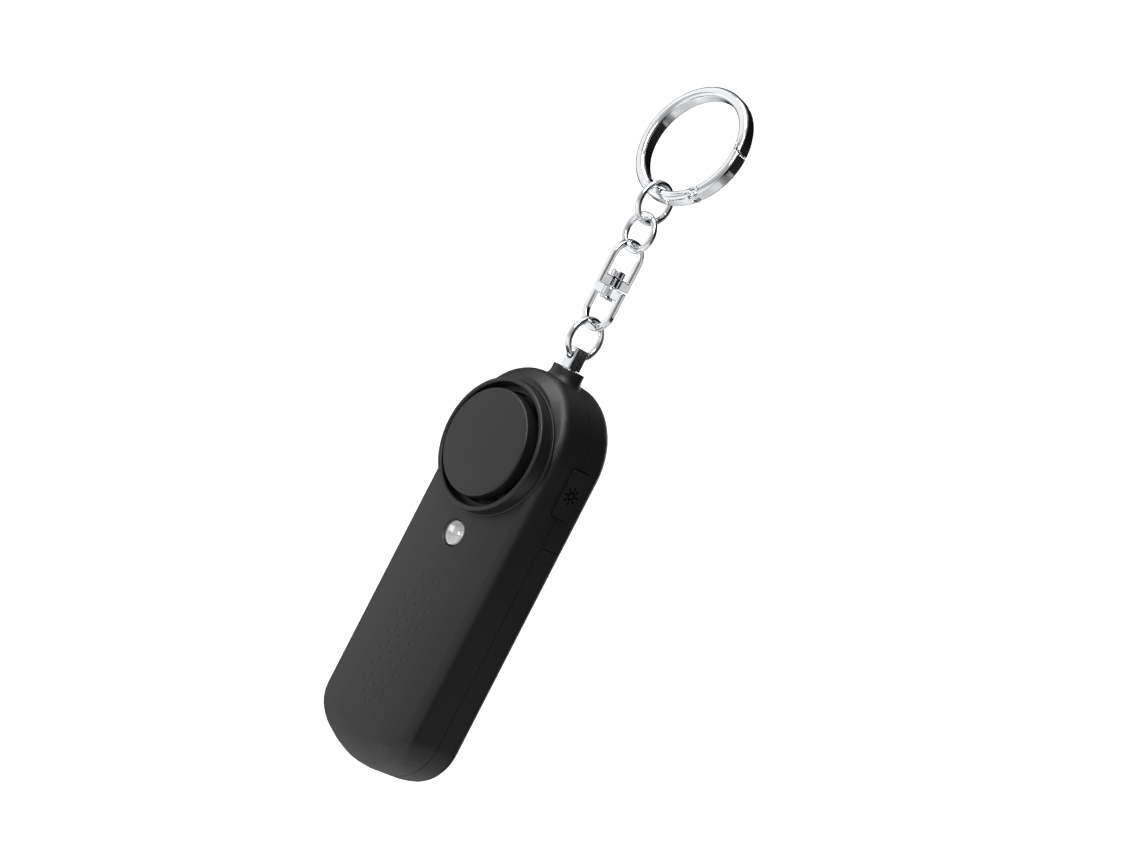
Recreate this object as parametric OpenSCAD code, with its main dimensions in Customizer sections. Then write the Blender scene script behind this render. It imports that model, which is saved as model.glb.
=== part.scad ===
// Personal safety alarm that hangs from a spring-gate ring by a short swivel chain.
// A pull pin plugs into the boss on top: drawing it out lets the siren sound.
// Millimetres, +Z up, the front faces -Y, and the origin is the centre of the clip ring's hole.

/* [Casing] */
// Width of the casing, which is also twice the radius of its round top
case_w = 31; // [29:0.5:34]
// Length of the casing without the boss on top
case_len = 90; // [88:0.5:100]
// Depth of the casing in front of the pull pin's axis
case_front = 8.3; // [7.4:0.1:9]
// Depth of the casing behind the pull pin's axis
case_rear = 8.9; // [8.2:0.1:10]
// Thickness of the moulded walls
wall = 1.6; // [1.2:0.1:1.8]
// Radius of the edge round the front
front_edge_r = 2.5; // [2:0.1:3.5]
// Radius of the front's edge along the bottom
chin_r = 7; // [5:0.5:8]
// Radius of the edge round the back
rear_edge_r = 3.5; // [2.5:0.1:4.5]
// Radius of the two bottom corners, seen from the front
corner_r = 10; // [8:0.5:12]
// Radius of the shallow bottom arc, seen from the front
bottom_r = 24; // [20:0.5:40]
// Radius of the front's gentle crown across its width
crown_r = 85; // [60:5:200]
// Distance of the parting line behind the pull pin's axis
seam_back = 1.2; // [1:0.1:2]
// Width of the gap along the parting lines
seam_gap = 0.15; // [0.1:0.05:0.3]
// Height of the battery cover's top edge above the casing's bottom
cover_top = 57.5; // [56.5:0.5:58]

/* [Boss] */
// Radius of the boss that the pull pin enters
boss_r = 3.5; // [3.3:0.1:4.5]
// Height of the boss above the casing's top
boss_h = 2.3; // [1.5:0.1:4]
// Radius of the concave flare at the boss's foot
flare_r = 2.2; // [1.5:0.1:2.6]
// Thickness of the metal bush inside the boss
bush_wall = 0.7; // [0.5:0.1:0.9]
// Length of the bush below its rim
bush_len = 6; // [4:0.5:8]
// Width of the bush's rim on the boss's mouth
bush_rim = 0.5; // [0.3:0.1:0.7]
// Thickness of the bush's rim
bush_rim_t = 0.3; // [0.2:0.1:0.5]

/* [Siren] */
// Distance of the siren's axis below the centre of the round top
siren_drop = 2.9; // [2:0.1:4]
// Inset of the collar's rim from the casing's side
collar_margin = 1.05; // [0.9:0.05:2]
// Thickness of the collar's rim
collar_t = 1.15; // [0.9:0.05:1.5]
// Reach of the collar's rim in front of the casing's face
collar_h = 2.5; // [2:0.1:4]
// Taper of the collar's outer wall, as extra radius at its foot
collar_taper = 0.25; // [0:0.05:0.5]
// Width of the step round the collar's foot
collar_foot_w = 0.35; // [0.2:0.05:0.5]
// Height of that step over the casing's front
collar_foot_h = 0.4; // [0.2:0.05:0.6]
// Width of the sound gap between cap and collar
sound_gap = 1.6; // [1.2:0.1:2.5]
// Reach of the cap in front of the collar's rim
cap_proud = 1.4; // [0.5:0.1:2.5]
// Thickness of the cap's face
cap_t = 1.9; // [1.4:0.1:2.2]
// Radius of the cap's front edge
cap_edge_r = 0.5; // [0.3:0.1:0.7]
// Thickness of the cap's skirt
skirt_t = 1.5; // [1:0.1:2]
// Width of the ledge that carries the cap's spokes
ledge_w = 1.1; // [0.8:0.1:1.4]
// Depth of the ledge behind the casing's face
ledge_depth = 0.6; // [0.4:0.1:0.8]
// Thickness of a spoke
spoke_t = 1; // [0.8:0.1:1.2]
// Width of a spoke
spoke_w = 1.8; // [1.2:0.1:2.5]
// Number of spokes
spoke_count = 4; // [3:1:6]
// Angle from the right to the first spoke
spoke_turn = 45; // [0:5:90]
// Thickness of the sealing ring in front of the sounder
gasket_t = 0.5; // [0.3:0.1:0.8]
// Thickness of the sounder's brass disc
brass_t = 0.3; // [0.2:0.05:0.4]
// Radius of the sounder's ceramic layer
ceramic_r = 9.5; // [8:0.5:10.5]
// Thickness of the sounder's ceramic layer
ceramic_t = 0.25; // [0.15:0.05:0.3]
// Thickness of the wall that locates the sounder
seat_wall = 0.5; // [0.4:0.05:0.6]

/* [Lamp] */
// Height of the lamp above the casing's bottom
lamp_z = 51.8; // [51.2:0.1:52.4]
// Radius of the lamp's lens
lamp_r = 2.6; // [2.2:0.1:2.8]
// Reach of the lens in front of the casing's face
lamp_proud = 0.8; // [0.4:0.1:1.2]
// Chamfer round the lamp's hole
lamp_chamfer = 0.5; // [0.3:0.05:0.7]
// Width of the lamp's flange behind the wall
lamp_flange = 0.4; // [0.3:0.1:0.6]
// Thickness of the lamp's flange and base
lamp_base = 1.4; // [1:0.1:1.5]
// Spacing of the lamp's two leads
lead_pitch = 2.54; // [2:0.01:3]
// Height of the leads' bend above the battery tray's end wall
lead_over = 1.5; // [1.2:0.1:2]
// Radius of a lead
lead_r = 0.25; // [0.2:0.05:0.3]

/* [Light button] */
// Height of the button's middle above the casing's bottom
button_z = 69.8; // [69:0.1:70.5]
// Distance of the button's middle behind the parting line
button_behind = 0.25; // [0:0.05:0.4]
// Corner radius of the button
button_corner = 0.5; // [0.3:0.1:0.8]
// Length of the button
button_len = 10.5; // [8:0.5:11]
// Width of the button
button_w = 4.5; // [4:0.1:5]
// Reach of the button out of the side
button_proud = 0.7; // [0.6:0.05:1]
// Travel of the button
button_travel = 0.6; // [0.3:0.05:0.6]
// Gap round the button
button_gap = 0.2; // [0.1:0.05:0.3]
// Width of the flange that keeps the button in
button_flange = 0.6; // [0.5:0.1:0.8]
// Thickness of that flange
button_flange_t = 0.8; // [0.6:0.1:1]

/* [Electronics] */
// Thickness of the circuit board
board_t = 1; // [0.8:0.1:1.6]
// Distance of the board's front behind the pull pin's axis
board_back = 2.6; // [2.4:0.1:3]
// Half width of the board
board_half_w = 10; // [8:0.5:10.5]
// Half width of the board's foot between the screws
board_foot_half_w = 8; // [6:0.5:8.2]
// Height of the board's foot
board_foot_h = 7.5; // [7:0.5:9]
// Gap between the battery tray's end wall and the board
board_gap = 0.5; // [0.3:0.1:1]
// Length of the board
board_len = 27; // [24:0.5:28]
// Radius of the posts that carry the board
post_r = 1.5; // [1:0.1:2]
// Distance of the coil and the chip from the board's middle
chip_x = 1.5; // [1:0.5:3]
// Distance of the chip from the board's lower edge
chip_up = 2; // [1:0.5:3]
// Distance of the sounder's leads from the siren's axis, side to side
sounder_lead_x = 4; // [2:0.5:5]
// Distance of the sounder's leads above the siren's axis
sounder_lead_up = 6; // [4:0.5:7]
// Gap between a pin contact and the pin, and between the contact and the boss above it
contact_gap = 0.25; // [0.15:0.05:0.4]
// Width of the light switch along the side
switch_len = 6; // [4:0.5:8]
// Width of the light switch across
switch_w = 3.6; // [3:0.1:3.6]
// Thickness of the switch's back wall, and its spare depth behind the plunger
switch_wall = 1; // [0.6:0.1:1.2]
// Radius of the switch's plunger
plunger_r = 1; // [0.7:0.1:1.2]
// Reach of the plunger into the switch
plunger_in = 1.2; // [1:0.1:1.5]
// Reach of the plunger out of the switch at rest
plunger_out = 1.3; // [1:0.1:1.6]
// Radius of the step-up coil
coil_r = 3; // [2:0.25:4]
// Height of the step-up coil
coil_h = 5; // [3:0.25:5.5]
// Width of the control chip
chip_w = 4; // [3:0.5:5]
// Length of the control chip
chip_len = 5; // [4:0.5:7]
// Height of the control chip
chip_h = 1.5; // [1:0.1:2]
// Thickness of the pin contacts
contact_t = 0.3; // [0.2:0.05:0.4]
// Height of the pin contacts
contact_h = 5; // [4:0.5:6]

/* [Batteries] */
// Radius of an AAA cell
cell_r = 5.25; // [5:0.05:5.3]
// Length of an AAA cell without its button
cell_len = 43.7; // [43:0.1:43.7]
// Length of the cell's button
cell_nub = 0.8; // [0.6:0.1:1]
// Radius of the cell's button
cell_nub_r = 1.9; // [1.5:0.1:1.9]
// Gap between the two cells
cell_gap = 0.1; // [0.1:0.05:0.3]
// Height of the battery tray's floor above the casing's bottom
tray_z = 4.6; // [4.4:0.1:5]
// Thickness of the tray's floor and end wall
tray_t = 1; // [0.8:0.1:1.2]
// Height of a pressed battery spring
spring_h = 3; // [2.5:0.1:3.5]
// Radius of a battery spring at its foot
spring_r = 3; // [2.5:0.1:3.5]
// Radius of a spring wire
spring_wire_r = 0.25; // [0.2:0.05:0.3]
// Turns of a battery spring
spring_turns = 3; // [2:1:3]
// Thickness of the flat battery contacts
plate_t = 0.4; // [0.3:0.1:0.5]
// Width of the flat battery contacts
plate_w = 7; // [5:0.5:8]
// Lap of the battery contacts' tabs on the board
tab_lap = 1.5; // [1:0.1:2]

/* [Screws] */
// Distance of the case screws from the centre plane
screw_x = 10.8; // [10.6:0.1:11]
// Height of the case screws above the battery cover's top edge
screw_up = 2.9; // [2.7:0.1:3.2]
// Radius of a screw's shank
screw_r = 0.9; // [0.7:0.1:1]
// Radius of a screw's head
screw_head_r = 1.7; // [1.5:0.1:1.8]
// Thickness of a screw's head
screw_head_t = 1; // [0.8:0.1:1.2]
// Length of a screw's shank
screw_len = 9; // [7:0.5:10]
// Radius of a screw boss
screw_boss_r = 2.1; // [1.9:0.1:2.3]

/* [Pull pin] */
// Width of the pin's head, side to side
pin_w = 3; // [2.8:0.1:3.4]
// Depth of the pin's head, front to back
pin_d = 3.5; // [3:0.1:3.8]
// Length of the head that shows above the boss
pin_show = 4.8; // [4.2:0.1:8]
// Corner radius of the head
pin_corner = 0.4; // [0.2:0.1:0.6]
// Radius of the hole for the ring
pin_hole_r = 1; // [0.9:0.05:1.05]
// Metal above that hole
pin_wall = 0.75; // [0.6:0.05:1.2]
// Radius of the round shank
shank_r = 1.45; // [1.3:0.05:1.6]
// Length of the shank below the boss's mouth
shank_len = 12.5; // [11:0.5:14]
// Clearance of the shank in the bush
pin_clear = 0.06; // [0.03:0.01:0.1]

/* [Chain] */
// Thickness of the ring wire
wire_d = 1.35; // [0.9:0.05:1.4]
// Mean radius of the upper ring
upper_ring_r = 4.3; // [4.2:0.05:5]
// Height of the upper ring's wire above the middle of the clip ring's bar
upper_ring_seat = 2.35; // [2.3:0.05:2.6]
// Mean radius of the middle ring
middle_ring_r = 3.95; // [3.7:0.05:4.5]
// Mean radius of the lower ring
lower_ring_r = 4.25; // [4:0.05:4.5]
// Gap between links that hang in each other
link_gap = 0.12; // [0.1:0.02:0.3]
// Width of the swivel
swivel_w = 9; // [8:0.25:11]
// Thickness of the swivel's bars
swivel_bar = 1.3; // [1:0.05:1.5]
// Corner radius of the swivel's bars
swivel_bar_corner = 0.35; // [0.2:0.05:0.45]
// Length of the swivel's upper loop
upper_loop_len = 10.8; // [10:0.1:14]
// Length of the swivel's lower loop
lower_loop_len = 9.9; // [9.5:0.1:13]
// Thickness of the bridge across each loop
bridge_t = 2; // [1.5:0.1:2.5]
// Radius of the rivet's shank
rivet_r = 0.8; // [0.6:0.05:1]
// Radius of the rivet's heads
rivet_head_r = 1.45; // [1.3:0.05:1.8]
// Height of the rivet's upper head
rivet_head_up = 1.5; // [1:0.1:2]
// Height of the rivet's lower head
rivet_head_down = 0.8; // [0.6:0.1:1.5]
// Running clearance of the rivet
rivet_clear = 0.06; // [0.04:0.01:0.1]

/* [Clip ring] */
// Radius of the clip ring's hole
clip_hole_r = 11.4; // [10.5:0.1:14]
// Thickness of the clip ring's bar, along the radius
clip_bar = 2.3; // [2:0.1:2.4]
// Width of the clip ring's bar, along its axis
clip_w = 3.6; // [3.4:0.1:3.7]
// Corner radius of the clip ring's bar
clip_corner = 0.95; // [0.6:0.05:0.95]
// Backward lean of the clip ring's top, in degrees
clip_lean = 12.5; // [0:0.5:15]
// Angle of the gate's hinge, from the right-hand side, in degrees
hinge_angle = -46; // [-50:1:-42]
// Angle of the gate's latch, from the right-hand side, in degrees
latch_angle = 19; // [14:1:30]
// Angle that the latch's lip covers, in degrees
latch_lap = 5; // [4:0.5:7]
// Gap between the gate and the ring
gate_gap = 0.15; // [0.1:0.05:0.2]
// Width of the gate's tongue in the hinge
tongue_w = 1.2; // [1:0.1:1.3]
// Height of the hinge's knuckle over the bar
knuckle_proud = 0.1; // [0.06:0.02:0.2]
// Thickness of the hinge's cheeks
cheek_t = 0.7; // [0.6:0.05:0.75]
// Radius of the hinge pin
gate_pin_r = 0.45; // [0.35:0.05:0.5]
// Running clearance of the hinge pin
gate_pin_clear = 0.05; // [0.03:0.01:0.08]
// Radius of the gate spring's wire
gate_spring_wire_r = 0.08; // [0.06:0.01:0.1]
// Turns of the gate's spring
gate_spring_turns = 1.5; // [1:0.5:1.5]

/* [Hidden] */
$fn = 96;

black = [0.07, 0.07, 0.075];
chrome = [0.8, 0.8, 0.82];
brass = [0.75, 0.6, 0.3];
green = [0.1, 0.35, 0.2];

// A small overlap for cuts and for pieces of one solid
eps = 0.02;
// A length that reaches past the whole casing
far = 200;
// Steps in which an edge widens round a corner
corner_steps = 8;
// Small fit between pieces that don't move against each other
fit = 0.05;

// Clip ring and chain, from the top down
clip_r = clip_hole_r + clip_bar / 2;
hang_y = -clip_r * sin(clip_lean);
clip_foot_z = -clip_r * cos(clip_lean);
upper_ring_z = clip_foot_z + upper_ring_seat - upper_ring_r;
middle_ring_z = upper_ring_z - upper_ring_r + wire_d + link_gap - middle_ring_r;
loop_drop = (wire_d + swivel_bar) / 2 + link_gap;
swivel_top_z = middle_ring_z - middle_ring_r + loop_drop + swivel_bar / 2;
swivel_mid_z = swivel_top_z - upper_loop_len;
swivel_bottom_z = swivel_mid_z - lower_loop_len;
loop_r = (swivel_w - swivel_bar) / 2;
lower_ring_z = swivel_bottom_z + swivel_bar / 2 + loop_drop - lower_ring_r;

// The ring's wire bows upwards inside the pin's straight hole, so the hole sits a little higher
ring_bow = lower_ring_r - sqrt(pow(lower_ring_r, 2) - pow(pin_d / 2, 2));
pin_hole_z = lower_ring_z - lower_ring_r + ring_bow / 2;
pin_top_z = pin_hole_z + pin_hole_r + pin_wall;
mouth_z = pin_top_z - pin_show;

// Battery bay, in the casing's own frame: x to the right, y up from the bottom, z towards the front
cell_x = cell_r + cell_gap / 2;
cell_front = (case_front - case_rear) / 2;
spring_y = tray_z + tray_t;
cell_y = spring_y + spring_h;
plate_y = cell_y + cell_len + cell_nub;
tray_end_y = plate_y + plate_t;
tray_half_w = cell_x + cell_r;
tab_w = plate_w / 2;
tray_back = cell_front - cell_r / 2;

// Casing
case_z = mouth_z - boss_h - case_len;
case_r = case_w / 2;
top_y = case_len - case_r;
corner_x = case_r - corner_r;
corner_reach = bottom_r - corner_r;
corner_y = bottom_r - sqrt(pow(corner_reach, 2) - pow(corner_x, 2));
corner_angle = asin(corner_x / corner_reach);
function crown_at(x) = case_front - crown_r + sqrt(pow(crown_r, 2) - pow(x, 2));
front_edge_z = crown_at(case_r - front_edge_r) - front_edge_r;
chin_z = crown_at((bottom_r - chin_r) * sin(corner_angle)) - chin_r;
rear_edge_z = rear_edge_r - case_rear;
mouth_y = case_len + boss_h;
flare_y = case_len - case_r + sqrt(pow(case_r, 2) - pow(boss_r + flare_r, 2));
bush_hole_r = shank_r + pin_clear;
bush_r = bush_hole_r + bush_wall;

// Siren
siren_y = top_y - siren_drop;
collar_r = case_r - collar_margin;
collar_bore_r = collar_r - collar_t;
rim_front = case_front + collar_h;
cap_r = collar_bore_r - sound_gap;
cap_front = rim_front + cap_proud;
ledge_front = case_front - ledge_depth;
ledge_r = collar_bore_r - ledge_w;
seat_r = case_r - wall - 2 * fit;
sounder_r = seat_r - seat_wall - fit;
crown_drop = crown_r - sqrt(pow(crown_r, 2) - pow(sounder_r, 2));
seat_front = case_front - wall - crown_drop - fit;
brass_front = seat_front - gasket_t;
ceramic_front = brass_front - brass_t;
sounder_back = ceramic_front - ceramic_t;

// Lamp
lamp_seat = case_front - wall - fit;
lamp_back = lamp_seat - lamp_base;
lead_y = tray_end_y + tray_t + lead_over;
lamp_pocket_r = lamp_r + lamp_flange + 4 * fit;

// Board and what stands on it
board_front = -board_back;
board_y = tray_end_y + tray_t + board_gap;
button_front = -(seam_back + button_behind);
button_in = case_r - wall - 4 * fit;
button_back_x = button_in - button_flange_t;
plunger_tip_x = button_back_x - fit;
switch_x = plunger_tip_x - plunger_out;
switch_depth = plunger_in + button_travel + switch_wall;
screw_y = cover_top + screw_up;
screw_seat = case_rear - screw_head_t;
core_y = mouth_y - bush_len - wall;
contact_y = core_y - contact_gap - contact_h;
contact_x = shank_r + contact_gap;

// Clip gate
hinge_x = clip_r * cos(hinge_angle);
hinge_y = clip_r * sin(hinge_angle);
gate_span = latch_angle - hinge_angle;
gate_reach = 2 * clip_r * sin(gate_span / 2);
lip_reach = 2 * clip_r * sin((gate_span - latch_lap) / 2);
knuckle_r = clip_bar / 2 + knuckle_proud;
cheek_front = (clip_w - clip_corner) / 2;
slot_top = clip_w / 2 - cheek_t;
tongue_z = slot_top - gate_gap - tongue_w;
gate_spring_h = tongue_z + slot_top - 2 * gate_gap;

// Frames and shared shapes

// Lays a shape drawn face up in the clip ring's leaning plane
module in_clip() {
    rotate([90 - clip_lean, 0, 0]) children();
}

// Puts a shape at a height on the chain's axis
module on_chain(z) {
    translate([0, hang_y, z]) children();
}

// Turns the casing's frame to the front and hangs it from the pin
module in_case() {
    on_chain(case_z) rotate([90, 0, 0]) children();
}

// Stands a shape upright in the casing's frame at a place across, up and to the front
module upright(x, y, front) {
    translate([x, y, front]) rotate([-90, 0, 0]) children();
}

// Repeats a shape on the left and on the right
module both_sides() {
    children();
    mirror([1, 0, 0]) children();
}

// Rectangle with round corners, about its centre
module round_rect(w, h, r) {
    square([w, h - 2 * r], center = true);
    square([w - 2 * r, h], center = true);
    for (x = [-1, 1], y = [-1, 1])
        translate([x * (w / 2 - r), y * (h / 2 - r)]) circle(r);
}

// Block with corners rounded in the x and y plane, standing on z = 0
module round_block(w, h, t, r) {
    linear_extrude(t) round_rect(w, h, r);
}

// Closed ring of round wire, standing in the plane square to Y
module wire_ring(r) {
    rotate([90, 0, 0]) rotate_extrude() translate([r, 0]) circle(wire_d / 2);
}

// Rounded edge of the casing, turned about one centre of its outline
module edge_turn(x, y, r, from, sweep, edge_r, edge_z, inset) {
    translate([x, y, edge_z]) rotate([0, 0, from]) rotate_extrude(angle = sweep, $fn = 56)
        translate([r - edge_r, 0]) circle(edge_r - inset, $fn = 24);
}

// Front edge round a lower corner, which widens from the side's edge to the chin
module corner_edge(inset) {
    for (i = [0 : corner_steps]) {
        edge_r = front_edge_r + (chin_r - front_edge_r) * (1 - cos(180 * i / corner_steps)) / 2;
        angle = (corner_angle - 90) * i / corner_steps;
        x = corner_x + (corner_r - edge_r) * cos(angle);
        y = corner_y + (corner_r - edge_r) * sin(angle);
        translate([x, y, crown_at(x) - edge_r]) sphere(edge_r - inset, $fn = 28);
    }
}

// The crowned front, as far as the rounded edges leave it
module crowned_front(inset) {
    intersection() {
        union() {
            translate([0, top_y, 0]) cylinder(r = case_r - front_edge_r, h = case_front);
            translate([front_edge_r - case_r, corner_y, 0])
                cube([2 * (case_r - front_edge_r), top_y - corner_y, case_front]);
        }
        upright(0, -far / 2, case_front - crown_r) cylinder(r = crown_r - inset, h = 2 * far, $fn = 180);
    }
}

// The casing's whole form, set in by a wall: one skin over its edges and its front
module casing_form(inset) {
    hull() {
        edge_turn(0, top_y, case_r, 0, 180, front_edge_r, front_edge_z, inset);
        edge_turn(0, top_y, case_r, 0, 180, rear_edge_r, rear_edge_z, inset);
        both_sides() {
            corner_edge(inset);
            edge_turn(corner_x, corner_y, corner_r, corner_angle - 90, 90 - corner_angle,
                rear_edge_r, rear_edge_z, inset);
        }
        edge_turn(0, bottom_r, bottom_r, -90 - corner_angle, 2 * corner_angle, chin_r, chin_z, inset);
        edge_turn(0, bottom_r, bottom_r, -90 - corner_angle, 2 * corner_angle,
            rear_edge_r, rear_edge_z, inset);
        crowned_front(inset, $fn = 64);
    }
}

// Everything in front of a depth
module in_front_of(front) {
    translate([-far / 2, -far / 2, front]) cube([far, 2 * far, far]);
}

// Everything between two heights
module between(low, high) {
    translate([-far / 2, low, -far / 2]) cube([far, high - low, far]);
}

// Boss with its concave flare, before it is split
module boss_form() {
    upright(0, 0, 0) {
        translate([0, 0, top_y]) cylinder(r = boss_r, h = mouth_y - top_y);
        rotate_extrude() difference() {
            translate([boss_r - eps, flare_y - flare_r]) square([flare_r + eps, 2 * flare_r]);
            translate([boss_r + flare_r, flare_y + flare_r]) circle(flare_r);
        }
    }
}

// Shaft through the boss for the bush and the pin
module boss_bore() {
    upright(0, mouth_y - shank_len, 0) cylinder(r = bush_r + fit, h = 2 * shank_len);
    upright(0, mouth_y - bush_rim_t, 0) cylinder(r = bush_r + bush_rim + fit, h = shank_len);
}

// The casing's outside with the boss, as one solid
module outer_form() {
    casing_form(0);
    boss_form();
}

// Opening in the side for the light button
module button_hole() {
    translate([case_r - 2 * wall, button_z, button_front]) rotate([0, 90, 0])
        round_block(button_w + 2 * button_gap, button_len + 2 * button_gap, 4 * wall,
            button_corner + button_gap);
}

// Coil of round wire that climbs from its foot to its top
function coil_point(t, r0, r1, h, turns) =
    let (r = r0 + (r1 - r0) * t, a = 360 * turns * t) [r * cos(a), r * sin(a), h * t];

module coil(r0, r1, h, turns, wire_r) {
    sides = 6;
    rings = 16 * turns;
    points = [for (i = [0 : rings], j = [0 : sides - 1])
        let (t = i / rings, p = coil_point(t, r0, r1, h, turns), a = 360 * turns * t, b = 360 * j / sides)
        p + wire_r * [cos(b) * cos(a), cos(b) * sin(a), sin(b)]];
    skin = [for (i = [0 : rings - 1], j = [0 : sides - 1])
        let (k = (j + 1) % sides, a = i * sides, b = a + sides)
        each [[a + j, b + j, b + k], [a + j, b + k, a + k]]];
    foot = [for (j = [1 : sides - 2]) [0, j, j + 1]];
    top = [for (j = [1 : sides - 2]) [rings * sides, rings * sides + j + 1, rings * sides + j]];
    polyhedron(points, concat(skin, foot, top));
}

// Clip ring

// Sector of the clip ring's bar
module clip_sector(from, to) {
    rotate([0, 0, from]) rotate_extrude(angle = to - from, $fn = 160)
        translate([clip_r, 0]) round_rect(clip_bar, clip_w, clip_corner);
}

// Disc about the gate's hinge
module hinge_disc(r, low, high) {
    translate([hinge_x, hinge_y, low]) cylinder(r = r, h = high - low);
}

// Disc about the gate's hinge that reaches only the latch's half of the ring
module latch_disc(r) {
    intersection() {
        hinge_disc(r, -clip_w, clip_w);
        translate([0, 0, -clip_w]) cube([2 * clip_r, 2 * clip_r, 2 * clip_w]);
    }
}

// Everything within a radius of the ring's axis
module core(r) {
    translate([0, 0, -2 * clip_w]) cylinder(r = r, h = 4 * clip_w);
}

// Fixed part of the ring, with the cheeks of the hinge and the lip of the latch
module clip_ring() {
    color(chrome) in_clip() difference() {
        union() {
            clip_sector(latch_angle - 2 * latch_lap, 360 + hinge_angle);
            hinge_disc(knuckle_r, -cheek_front, cheek_front);
        }
        latch_disc(lip_reach + gate_gap);
        intersection() {
            latch_disc(gate_reach + gate_gap);
            core(clip_r + gate_gap / 2);
        }
        hinge_disc(knuckle_r + gate_gap, -slot_top, slot_top);
        hinge_disc(gate_pin_r, -clip_w, clip_w);
    }
}

// Gate that swings inwards, with its tongue in the hinge and its step under the lip
module clip_gate() {
    color(chrome) in_clip() difference() {
        union() {
            difference() {
                intersection() {
                    clip_sector(hinge_angle, latch_angle + 2 * latch_lap);
                    hinge_disc(gate_reach, -clip_w, clip_w);
                }
                hinge_disc(knuckle_r + gate_gap, -clip_w, clip_w);
                difference() {
                    translate([0, 0, -clip_w]) cylinder(r = 2 * clip_r, h = 2 * clip_w);
                    core(clip_r - gate_gap / 2);
                    hinge_disc(lip_reach, -2 * clip_w, 2 * clip_w);
                }
            }
            intersection() {
                clip_sector(hinge_angle, latch_angle);
                hinge_disc(2 * knuckle_r, tongue_z, tongue_z + tongue_w);
            }
            hinge_disc(knuckle_r, tongue_z, tongue_z + tongue_w);
        }
        hinge_disc(gate_pin_r + gate_pin_clear, -clip_w, clip_w);
    }
}

// Pin that the gate turns on
module gate_pin() {
    color(chrome) in_clip()
        hinge_disc(gate_pin_r, -cheek_front, cheek_front);
}

// Spring that closes the gate, wound round the pin beside the tongue
module gate_spring() {
    spring_mean_r = (gate_pin_r + knuckle_r) / 2;
    gate_spring_rise = gate_spring_h - 2 * gate_spring_wire_r;
    color(chrome) in_clip() translate([hinge_x, hinge_y, -slot_top + gate_gap + gate_spring_wire_r])
        coil(spring_mean_r, spring_mean_r, gate_spring_rise, gate_spring_turns, gate_spring_wire_r);
}

// Chain

// Ring that hangs in the clip ring
module upper_ring() {
    color(chrome) on_chain(upper_ring_z) rotate([0, 0, 90]) wire_ring(upper_ring_r);
}

// Ring between the upper ring and the swivel
module middle_ring() {
    color(chrome) on_chain(middle_ring_z) wire_ring(middle_ring_r);
}

// One loop of the swivel, from its bridge upwards
module swivel_loop(len, bore_r) {
    leg = len - swivel_w / 2;
    difference() {
        union() {
            translate([0, 0, leg]) rotate([90, 0, 0]) rotate_extrude(angle = 180)
                translate([loop_r, 0]) round_rect(swivel_bar, swivel_bar, swivel_bar_corner);
            both_sides() translate([loop_r, 0, 0])
                round_block(swivel_bar, swivel_bar, leg, swivel_bar_corner);
            translate([-loop_r, -swivel_bar / 2, 0]) cube([2 * loop_r, swivel_bar, bridge_t]);
            cylinder(r = rivet_head_r, h = bridge_t);
        }
        translate([0, 0, -eps]) cylinder(r = bore_r, h = bridge_t + 2 * eps);
    }
}

// Upper loop, which turns on the rivet
module swivel_upper() {
    color(chrome) on_chain(swivel_mid_z + link_gap / 2) rotate([0, 0, 90])
        swivel_loop(upper_loop_len - link_gap / 2, rivet_r + rivet_clear);
}

// Lower loop, which holds the rivet
module swivel_lower() {
    color(chrome) on_chain(swivel_mid_z - link_gap / 2) mirror([0, 0, 1])
        swivel_loop(lower_loop_len - link_gap / 2, rivet_r);
}

// Rivet that joins the two loops
module swivel_rivet() {
    upper_seat = bridge_t + 1.5 * link_gap;
    lower_seat = bridge_t + link_gap / 2;
    color(chrome) on_chain(swivel_mid_z) {
        translate([0, 0, -lower_seat]) cylinder(r = rivet_r, h = lower_seat + upper_seat);
        translate([0, 0, upper_seat]) cylinder(r = rivet_head_r, h = rivet_head_up);
        translate([0, 0, -lower_seat - rivet_head_down]) cylinder(r = rivet_head_r, h = rivet_head_down);
    }
}

// Ring that holds the pull pin
module lower_ring() {
    color(chrome) on_chain(lower_ring_z) rotate([0, 0, 90]) wire_ring(lower_ring_r);
}

// Pull pin: a flat head with a cross hole, and a round shank with a tapered tip
module pull_pin() {
    tip = shank_r / 2;
    color(chrome) difference() {
        on_chain(mouth_z) {
            translate([0, 0, bush_rim_t]) round_block(pin_w, pin_d, pin_show - bush_rim_t, pin_corner);
            translate([0, 0, tip - shank_len]) cylinder(r = shank_r, h = shank_len - tip + pin_show / 2);
            translate([0, 0, -shank_len]) cylinder(r1 = shank_r - tip, r2 = shank_r, h = tip);
        }
        on_chain(pin_hole_z) rotate([90, 0, 0]) cylinder(r = pin_hole_r, h = far, center = true);
    }
}

// Casing

// Collar round the siren, with its rounded rim and a step round its foot
module siren_collar() {
    rim_r = collar_t / 2;
    foot = case_front - 2 * wall;
    translate([0, siren_y, 0]) rotate_extrude() {
        translate([collar_r - rim_r, rim_front - rim_r]) circle(rim_r);
        polygon([
            [collar_bore_r, foot], [collar_r + collar_taper, foot],
            [collar_r, rim_front - rim_r], [collar_bore_r, rim_front - rim_r]
        ]);
    }
    intersection() {
        translate([0, siren_y, foot]) difference() {
            cylinder(r = collar_r + collar_taper + collar_foot_w, h = far);
            translate([0, 0, -eps]) cylinder(r = collar_bore_r, h = 2 * far);
        }
        upright(0, -far / 2, case_front - crown_r)
            cylinder(r = crown_r + collar_foot_h, h = 2 * far, $fn = 180);
    }
}

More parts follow.
